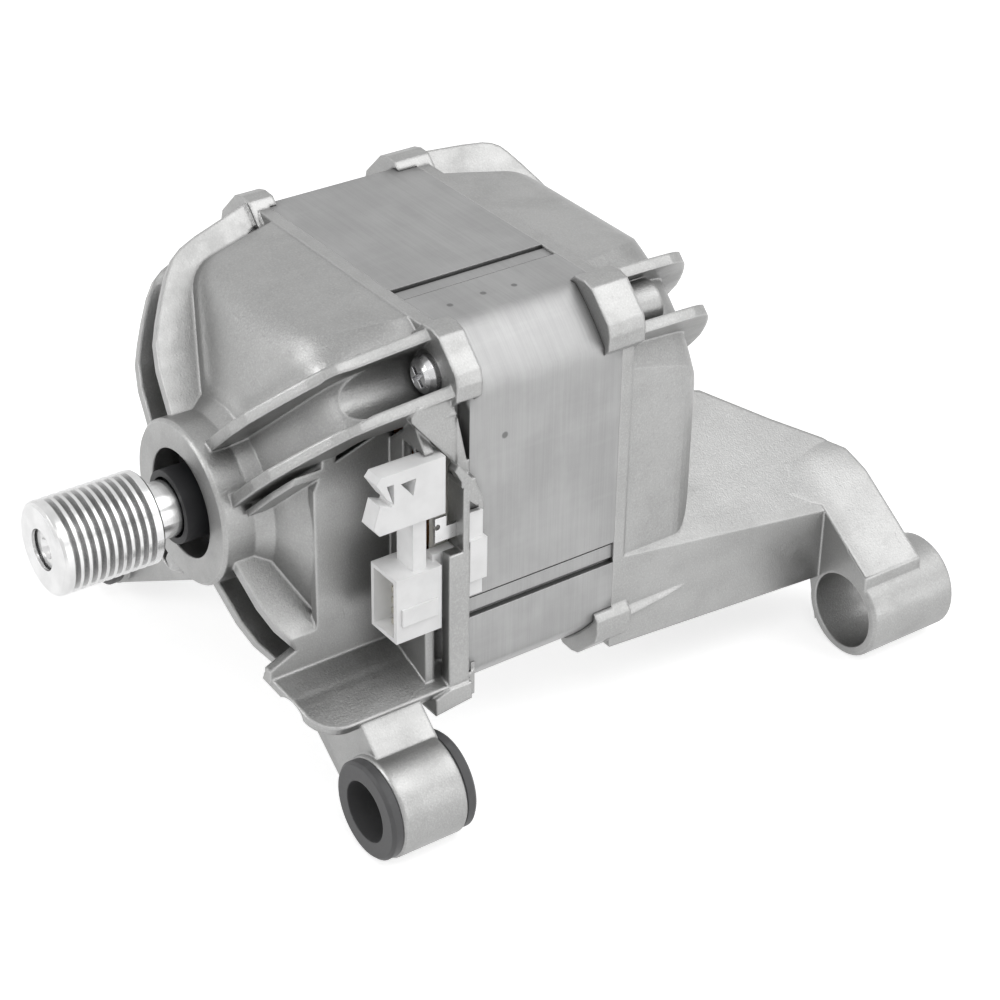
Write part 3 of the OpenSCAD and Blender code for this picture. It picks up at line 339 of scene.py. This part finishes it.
def cast_metal(name, colour, grain, roughness):
    """Die-cast metal with a fine sandy skin, flow marks, painted shade in its hollows and rubbed edges."""
    s = Shader(name)
    patches = s.noise(24, 3.0)
    smears = s.noise(6, 4.0, stretch=(1.0, 0.4, 1.0))
    sand = s.noise(0.5, 2.0)
    pits = s.ramp(s.noise(1.3, 2.0), 0.62, 0.75)
    chill = s.ramp(s.noise(9, 5.0, 0.7), 0.5, 0.62)
    rounded = s.edges(CAST_EDGE)
    mask = s.ramp(patches * 0.55 + smears * 0.45, 0.36, 0.64)
    base = s.layered(
        s.blend(mask, tint(colour, 0.96), tint(colour, 1.04)),
        colour,
        (
            (chill * 0.08, 0.8),
            (s.ramp(sand, 0.45, 0.75) * 0.4 * grain, 1.45),
            (s.ramp(sand, 0.42, 0.25) * 0.3 * grain, 0.6),
            (pits * 0.12 * grain, 0.55),
            # Painted shade: the base colour darkens in hollows and corners, found by ambient occlusion
            (s.painted_recess_shade(15) * 0.55, 0.45),
            (s.worn(rounded) * 0.55, 1.6),
        ),
    )
    bent = s.softer(rounded, CAST_BEND, dome_flats(s))
    relief = sand * 0.8 + smears * 0.3 - pits * 0.2
    return s.surface(
        {
            "Base Color": base,
            "Metallic": 0.9,
            "Roughness": roughness + (mask - 0.5) * -0.1 + (sand - 0.5) * 0.2 + chill * 0.05,
            "Normal": s.bump(relief, 0.1 * grain, 0.8, bent),
        }
    )


def lamination_metal(name, colour, marks=()):
    """Edges of stacked sheets: fine lines across the stack, dark punch marks and painted shade in the gaps
    and corners.
    """
    s = Shader(name)
    sheets = s.noise(0.42, 1.0, stretch=(0.02, 1.0, 0.02))
    bands = s.noise(4, 2.0, stretch=(0.05, 1.0, 0.05))
    stains = s.noise(17, 4.0)
    strokes = s.noise(2.4, 3.0, stretch=(1.0, 0.08, 1.0))
    layers = [
        (s.ramp(sheets, 0.35, 0.65) * 0.16, 0.7),
        (s.ramp(bands, 0.4, 0.7) * 0.12, 1.25),
        (s.ramp(strokes, 0.5, 0.75) * 0.14, 1.2),
        # Painted shade: the base colour darkens in the stack's narrow gaps and corners
        (s.ramp(s.painted_recess_shade(3), 0.1, 0.6) * 0.75, 0.2),
    ]
    for centre, radius in marks:
        away = s.vector("DISTANCE", s.place, Vector(centre) * MM, output="Value")
        layers.append(((1 - s.within(away, (radius * 0.7, radius * 1.3))) * 0.8, 0.35))
    clean = s.blend(s.ramp(stains, 0.35, 0.68), tint(colour, 0.92), tint(colour, 1.06))
    corner = s.within(s.math("MINIMUM", s.offset("X"), s.offset("Z")), CORE_CORNER)
    bent = s.softer(s.edges(SHEET_EDGE), SHEET_BEND, corner)
    return s.surface(
        {
            "Base Color": s.layered(clean, colour, layers),
            "Metallic": 0.75,
            "Roughness": 0.42 + (stains - 0.5) * 0.14 + (sheets - 0.5) * 0.1,
            "Normal": s.bump(sheets * 0.8 + strokes * 0.2, 0.05, 0.6, bent),
        }
    )


def turned_metal(name, colour, roughness, pitch, depth, painted_hollow_shade=0.0):
    """Machined steel with fine rings round the shaft axis, and painted shade darkening its grooves where
    asked for.
    """
    s = Shader(name)
    rings = s.noise(pitch, 1.0, stretch=(0.02, 1.0, 0.02))
    film = s.noise(6, 3.0)
    layers = [(s.ramp(rings, 0.5, 0.8) * 0.2, 0.7)]
    if painted_hollow_shade:
        # Painted shade: the base colour darkens in the grooves and hollows
        layers.append((s.ramp(s.painted_recess_shade(2.5), 0.12, 0.62) * painted_hollow_shade, 0.16))
    clean = s.blend(s.ramp(film, 0.35, 0.7), tint(colour, 0.93), tint(colour, 1.05))
    return s.surface(
        {
            "Base Color": s.layered(clean, colour, layers),
            "Metallic": 1.0,
            "Roughness": roughness + (film - 0.5) * 0.12 + (rings - 0.5) * 0.08,
            "Normal": s.bump(rings, depth, 0.7, s.edges(TURNED_EDGE)),
        }
    )


def plain_metal(name, colour, roughness, metallic=1.0, edge=0.2):
    """Plated or ground metal with faint scuffs."""
    s = Shader(name)
    scuffs = s.noise(1.2, 4.0, stretch=(1.0, 0.3, 1.0))
    cloud = s.noise(9, 2.0)
    return s.surface(
        {
            "Base Color": s.blend(s.ramp(cloud, 0.3, 0.7), tint(colour, 0.9), tint(colour, 1.08)),
            "Metallic": metallic,
            "Roughness": roughness + (scuffs - 0.5) * 0.2,
            "Normal": s.bump(scuffs, 0.02, 0.5, s.edges(edge)),
        }
    )


def moulded_plastic(name, colour, roughness):
    """Moulded plastic with a fine spark-eroded skin and soft edges."""
    s = Shader(name)
    skin = s.noise(0.3, 2.0)
    flow = s.noise(8, 3.0)
    return s.surface(
        {
            "Base Color": s.blend(s.ramp(flow, 0.3, 0.7), tint(colour, 0.95), tint(colour, 1.03)),
            "Roughness": roughness + (skin - 0.5) * 0.12 + (flow - 0.5) * 0.08,
            "Specular IOR Level": 0.5,
            "Normal": s.bump(skin, 0.02, 0.5, s.edges(MOULDED_EDGE)),
        }
    )


def soft_rubber(name, colour):
    """Dark moulded rubber, dusty in patches."""
    s = Shader(name)
    skin = s.noise(0.6, 3.0)
    dust = s.ramp(s.noise(5, 4.0), 0.5, 0.8)
    return s.surface(
        {
            "Base Color": s.blend(dust * 0.5, tint(colour, 1.0), tint(colour, 2.2)),
            "Roughness": 0.52 + dust * 0.2 + (skin - 0.5) * 0.1,
            "Normal": s.bump(skin, 0.05, 0.6, s.edges(RUBBER_EDGE)),
        }
    )


def enamelled_wire(name, colour):
    """Copper winding wires side by side under clear enamel."""
    s = Shader(name)
    strands = s.noise(0.7, 1.0)
    wave = {"Vector": s.place, "Scale": 420.0, "Distortion": 1.5}
    wires = Value(s, s.node("ShaderNodeTexWave", {"bands_direction": "Y"}, wave).outputs["Fac"])
    return s.surface(
        {
            "Base Color": s.blend(s.ramp(wires, 0.2, 0.8), tint(colour, 0.6), tint(colour, 1.15)),
            "Metallic": 0.7,
            "Roughness": 0.3 + (strands - 0.5) * 0.15,
            "Normal": s.bump(wires * 0.8 + strands * 0.2, 0.2, 0.8),
        }
    )


def dress(node, material):
    """Gives a CAD node its material."""
    mesh = NODES[node].data
    mesh.materials.clear()
    mesh.materials.append(material)


def add_piece(name, shape):
    """Turns finished mesh code into an object of the scene."""
    mesh = bpy.data.meshes.new(name)
    shape.to_mesh(mesh)
    shape.free()
    piece = bpy.data.objects.new(name, mesh)
    bpy.context.scene.collection.objects.link(piece)
    return piece


# Blends on the rear arms


def arm_top(x, y):
    """Height of a rear arm's sloping top."""
    return ARM_EDGE_Z - ARM_SLOPE * (x - ARM_SIDE) - ARM_FALL * (y - ARM_LEG_Y)


def along(outline, x):
    """Where an outline of corners lies at a place across the arm."""
    for (x0, y0), (x1, y1) in zip(outline, outline[1:]):
        if x <= x1:
            return y0 + (y1 - y0) * (x - x0) / (x1 - x0)
    raise ValueError("the outline ends before this place")


def smooth(share):
    """A share from 0 to 1, eased at both ends and held beyond them."""
    share = min(1.0, max(0.0, share))
    return share * share * (3 - 2 * share)


def web_rise(x, y):
    """How far the web's top stands above the arm's top, with both ends eased."""
    behind = y - ARM_LEG_Y - WEB_DROP / ARM_FALL
    eased = (behind + math.hypot(behind, BLEND_SOFT)) / 2
    return ARM_FALL * eased * smooth((x - BLEND_START) / (WEB_SIDE - BLEND_START))


def rim_sink(x, y):
    """How far the skin's inner rims dip into the arm, so that no edge shows."""
    ahead = y - along(ARM_AHEAD, x) + RIM_GAIN * max(0.0, x - RIM_CLOSE)
    return RIM_SINK * (1 - smooth(min(x - BLEND_START, ahead) / RIM_WIDTH))


def skin_layer(shape, side, reach, sink):
    """Columns of vertices over the web, sunk below the skin's own height."""
    layer = []
    for i in range(BLEND_COLUMNS + 1):
        x = BLEND_START + (reach - BLEND_START) * i / BLEND_COLUMNS
        first, last = along(ARM_AHEAD, x), along(ARM_REAR, x) - REAR_GAP
        column = []
        for j in range(BLEND_ROWS + 1):
            y = first + (last - first) * j / BLEND_ROWS
            z = arm_top(x, y) + web_rise(x, y) - rim_sink(x, y) - sink
            column.append(shape.verts.new((side * x * MM, y * MM, z * MM)))
        layer.append(column)
    return layer


def layer_rim(layer):
    """The vertices round a layer's edge, in order."""
    ahead = [column[0] for column in layer[1:-1]]
    behind = [column[-1] for column in layer[1:-1]]
    return layer[0][::-1] + ahead + layer[-1] + behind[::-1]


def arm_blend(name, side, reach):
    """Cast skin that carries the arm's top over the proud web without a step."""
    shape = bmesh.new()
    layers = [skin_layer(shape, side, reach, sink) for sink in (-BLEND_SKIN, BLEND_DEPTH)]
    for layer in layers:
        for here, beside in zip(layer, layer[1:]):
            for j in range(BLEND_ROWS):
                shape.faces.new((here[j], beside[j], beside[j + 1], here[j + 1]))
    upper, lower = (layer_rim(layer) for layer in layers)
    for k in range(len(upper)):
        wall = shape.faces.new((upper[k - 1], upper[k], lower[k], lower[k - 1]))
        for edge in wall.edges:
            edge.smooth = False
    bmesh.ops.recalc_face_normals(shape, faces=shape.faces)
    for face in shape.faces:
        face.smooth = True
    return add_piece(name, shape)


# Sizes and finishes a user would change


class MotorFinish(bpy.types.PropertyGroup):
    """Colours of the motor's visible pieces."""

    cast: FloatVectorProperty(
        name="Cast Metal", description="Colour of the cast end shields", subtype="COLOR",
        size=3, min=0, max=1, default=(0.36, 0.36, 0.357),
    )
    sheet: FloatVectorProperty(
        name="Laminations", description="Colour of the stator's sheet edges", subtype="COLOR",
        size=3, min=0, max=1, default=(0.36, 0.36, 0.36),
    )
    steel: FloatVectorProperty(
        name="Bright Steel", description="Colour of the shaft and the pulley", subtype="COLOR",
        size=3, min=0, max=1, default=(0.68, 0.68, 0.68),
    )
    plug: FloatVectorProperty(
        name="Connector", description="Colour of the connector's plastic", subtype="COLOR",
        size=3, min=0, max=1, default=(0.93, 0.93, 0.93),
    )
    rubber: FloatVectorProperty(
        name="Rubber", description="Colour of the bushes", subtype="COLOR",
        size=3, min=0, max=1, default=(0.072, 0.072, 0.074),
    )


class MotorStudio(bpy.types.PropertyGroup):
    """Floor, light and camera of the studio."""

    floor_size: FloatProperty(
        name="Floor Size", description="Width of the round studio floor",
        default=6.0, min=1.0, unit="LENGTH", subtype="DISTANCE",
    )
    key_power: FloatProperty(
        name="Key Light", description="Power of the light high behind the connector's side",
        default=5.4, min=0.0, unit="POWER",
    )
    front_power: FloatProperty(
        name="Front Light", description="Power of the light before the pulley",
        default=4.8, min=0.0, unit="POWER",
    )
    side_power: FloatProperty(
        name="Side Light", description="Power of the low light on the connector's side",
        default=3.1, min=0.0, unit="POWER",
    )
    camera_power: FloatProperty(
        name="Camera Light", description="Power of the light above the camera",
        default=2.2, min=0.0, unit="POWER",
    )
    sky: FloatProperty(
        name="Sky", description="Strength of the even light from all round",
        default=0.36, min=0.0,
    )
    floor_glow: FloatProperty(
        name="Floor Whiteness", description="How far the seen floor is lifted towards white",
        default=0.66, min=0.0, max=1.0,
    )
    lens: FloatProperty(
        name="Lens", description="Focal length of the camera",
        default=92.16, min=10.0, unit="CAMERA",
    )


# Operators


class MOTOR_OT_shields(bpy.types.Operator):
    """Give both cast end shields their sandy die-cast skin, and blend the rear arms"""

    bl_idname = "motor.shields"
    bl_label = "End Shields"

    def execute(self, context):
        colour = context.scene.motor_finish.cast
        dress("front_shield", cast_metal("shield_cast_front", colour, grain=1.0, roughness=0.37))
        rear = cast_metal("shield_cast_rear", colour, grain=1.1, roughness=0.39)
        dress("rear_shield", rear)
        for where, side in (("near", 1), ("far", -1)):
            piece = arm_blend(f"{where}_arm_blend", side, WEB_REACH[where])
            piece.data.materials.append(rear)
            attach(piece, "housing")
        return {"FINISHED"}


class MOTOR_OT_stator(bpy.types.Operator):
    """Give the lamination stack its sheet edges and punch marks"""

    bl_idname = "motor.stator"
    bl_label = "Stator Core"

    def execute(self, context):
        colour = context.scene.motor_finish.sheet
        dress("stator_core", lamination_metal("stator_sheets", colour, PUNCH_MARKS))
        return {"FINISHED"}


class MOTOR_OT_drive(bpy.types.Operator):
    """Give the shaft, the pulley and the rotor their machined steel"""

    bl_idname = "motor.drive"
    bl_label = "Shaft, Pulley and Rotor"

    def execute(self, context):
        finish = context.scene.motor_finish
        # The last number of each finish sets how strong the painted shade in its grooves and hollows is
        ground = turned_metal("shaft_ground", finish.steel, 0.2, pitch=0.2, depth=0.004, painted_hollow_shade=0.25)
        turned = turned_metal("pulley_turned", finish.steel, 0.24, pitch=0.12, depth=0.008, painted_hollow_shade=0.14)
        dress("shaft", ground)
        dress("belt_pulley", turned)
        dress("rotor_core", lamination_metal("rotor_sheets", finish.sheet))
        dress("rotor_magnets", plain_metal("magnet_dark", (0.14, 0.14, 0.15), 0.5, metallic=0.3))
        dress("rotor_end_plates", plain_metal("end_plate_zinc", (0.6, 0.6, 0.6), 0.35))
        return {"FINISHED"}


class MOTOR_OT_bearings(bpy.types.Operator):
    """Give the bearings, their springs and the dust cap their finishes"""

    bl_idname = "motor.bearings"
    bl_label = "Bearings"

    def execute(self, context):
        race = turned_metal("race_ground", (0.5, 0.5, 0.51), 0.25, pitch=0.2, depth=0.004)
        ball = plain_metal("ball_polished", (0.75, 0.75, 0.76), 0.08)
        cage = plain_metal("cage_brass", (0.62, 0.5, 0.26), 0.35)
        spring = plain_metal("spring_black", (0.2, 0.2, 0.21), 0.35)
        for end in ("front", "rear"):
            dress(f"{end}_bearing_outer", race)
            dress(f"{end}_bearing_inner", race)
            dress(f"{end}_bearing_balls", ball)
            dress(f"{end}_ball_cage", cage)
        dress("bearing_clip", spring)
        dress("wave_washer", spring)
        dress("dust_cap", moulded_plastic("cap_black", (0.016, 0.016, 0.018), 0.5))
        return {"FINISHED"}


class MOTOR_OT_winding(bpy.types.Operator):
    """Give the coils and their insulators their finishes"""

    bl_idname = "motor.winding"
    bl_label = "Winding"

    def execute(self, context):
        dress("stator_coils", enamelled_wire("coil_copper", (0.62, 0.3, 0.14)))
        cover = moulded_plastic("insulator_ivory", (0.8, 0.79, 0.74), 0.5)
        dress("front_insulator", cover)
        dress("rear_insulator", cover)
        return {"FINISHED"}


class MOTOR_OT_connector(bpy.types.Operator):
    """Give the connector, its pins and the earth tab their finishes"""

    bl_idname = "motor.connector"
    bl_label = "Connector"

    def execute(self, context):
        finish = context.scene.motor_finish
        dress("terminal_block", moulded_plastic("connector_white", finish.plug, 0.38))
        dress("terminal_pins", plain_metal("pin_tinned", (0.68, 0.66, 0.58), 0.3))
        dress("earth_tab", plain_metal("tab_plated", (0.6, 0.6, 0.6), 0.3))
        return {"FINISHED"}


class MOTOR_OT_bushes(bpy.types.Operator):
    """Give the bushes in the front lugs their rubber"""

    bl_idname = "motor.bushes"
    bl_label = "Rubber Bushes"

    def execute(self, context):
        rubber = soft_rubber("bush_rubber_dark", context.scene.motor_finish.rubber)
        dress("near_bush", rubber)
        dress("far_bush", rubber)
        return {"FINISHED"}


class MOTOR_OT_screws(bpy.types.Operator):
    """Give the through screws their zinc plating"""

    bl_idname = "motor.screws"
    bl_label = "Through Screws"

    def execute(self, context):
        dress("through_screws", plain_metal("screw_zinc", (0.66, 0.66, 0.67), 0.24, edge=0.3))
        return {"FINISHED"}


def floor_material(glow):
    """Pale floor that shows as white where it is seen, with the object's shadow on it."""
    s = Nodes(bpy.data.materials.new("studio_floor"))
    matt = {"Base Color": FLOOR_COLOUR, "Roughness": 0.8, "Specular IOR Level": 0.2}
    pale = s.node("ShaderNodeBsdfPrincipled", inputs=matt)
    lift = s.node("ShaderNodeEmission", inputs={"Color": WHITE, "Strength": glow})
    both = s.node("ShaderNodeAddShader", inputs={0: pale.outputs[0], 1: lift.outputs[0]})
    mix = {0: s.seen(), 1: pale.outputs[0], 2: both.outputs[0]}
    return s.close("ShaderNodeOutputMaterial", s.node("ShaderNodeMixShader", inputs=mix))


def studio_world(sky):
    """Even grey light on the object, in front of a white backdrop."""
    s = Nodes(bpy.data.worlds.new("studio_world"))
    lit = s.node("ShaderNodeBackground", inputs={"Color": WHITE, "Strength": sky})
    white = s.node("ShaderNodeBackground", inputs={"Color": WHITE, "Strength": 1.0})
    mix = {0: s.seen(), 1: lit.outputs[0], 2: white.outputs[0]}
    return s.close("ShaderNodeOutputWorld", s.node("ShaderNodeMixShader", inputs=mix))


def area_light(name, place, aim, size, power):
    """A square soft light that faces a point."""
    lamp = bpy.data.lights.new(name, "AREA")
    lamp.energy = power
    lamp.size = size
    holder = bpy.data.objects.new(name, lamp)
    bpy.context.scene.collection.objects.link(holder)
    holder.location = place
    holder.rotation_mode = "QUATERNION"
    holder.rotation_quaternion = (aim - Vector(place)).to_track_quat("-Z", "Y")


def photo_camera(lens):
    """The camera at the photograph's viewing angle."""
    data = bpy.data.cameras.new("photo_camera")
    data.lens = lens
    data.sensor_width = CAMERA_SENSOR
    data.clip_start = CAMERA_NEAR
    data.clip_end = CAMERA_FAR
    camera = bpy.data.objects.new("photo_camera", data)
    bpy.context.scene.collection.objects.link(camera)
    stand = Matrix.Translation(CAMERA_PLACE)
    for axis, angle in CAMERA_TURNS:
        stand = stand @ Matrix.Rotation(math.radians(angle), 4, axis)
    camera.matrix_world = stand
    return camera


class MOTOR_OT_stage(bpy.types.Operator):
    """Set up the floor, the backdrop, the light and the camera"""

    bl_idname = "motor.stage"
    bl_label = "Studio"

    def execute(self, context):
        scene = context.scene
        studio = scene.motor_studio
        low, high = CAD_BOX
        shape = bmesh.new()
        bmesh.ops.create_circle(shape, cap_ends=True, segments=FLOOR_SIDES, radius=studio.floor_size / 2)
        floor = add_piece("studio_floor", shape)
        floor.location = (0, 0, low.z)
        floor.data.materials.append(floor_material(studio.floor_glow))
        scene.world = studio_world(studio.sky)
        for name, (place, size) in LAMPS.items():
            area_light(f"{name}_light", place, (low + high) / 2, size, getattr(studio, f"{name}_power"))
        scene.camera = photo_camera(studio.lens)
        scene.view_settings.view_transform = "Standard"
        return {"FINISHED"}


class MOTOR_PT_panel(bpy.types.Panel):
    """Steps that dress the motor"""

    bl_idname = "MOTOR_PT_panel"
    bl_label = "Washing Machine Motor"
    bl_space_type = "VIEW_3D"
    bl_region_type = "UI"
    bl_category = "Motor"

    def draw(self, context):
        layout = self.layout
        for step in STEPS:
            layout.operator(step.bl_idname)
        for group in (context.scene.motor_finish, context.scene.motor_studio):
            box = layout.box()
            for key in group.__annotations__:
                box.prop(group, key)


STEPS = (
    MOTOR_OT_shields,
    MOTOR_OT_stator,
    MOTOR_OT_drive,
    MOTOR_OT_bearings,
    MOTOR_OT_winding,
    MOTOR_OT_connector,
    MOTOR_OT_bushes,
    MOTOR_OT_screws,
    MOTOR_OT_stage,
)
CLASSES = (MotorFinish, MotorStudio) + STEPS + (MOTOR_PT_panel,)


def register():
    for cls in CLASSES:
        bpy.utils.register_class(cls)
    bpy.types.Scene.motor_finish = PointerProperty(type=MotorFinish)
    bpy.types.Scene.motor_studio = PointerProperty(type=MotorStudio)


def unregister():
    del bpy.types.Scene.motor_studio
    del bpy.types.Scene.motor_finish
    for cls in reversed(CLASSES):
        bpy.utils.unregister_class(cls)


def main():
    """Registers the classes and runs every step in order."""
    register()
    for step in STEPS:
        group, name = step.bl_idname.split(".")
        getattr(getattr(bpy.ops, group), name)()


if __name__ == "__main__":
    main()
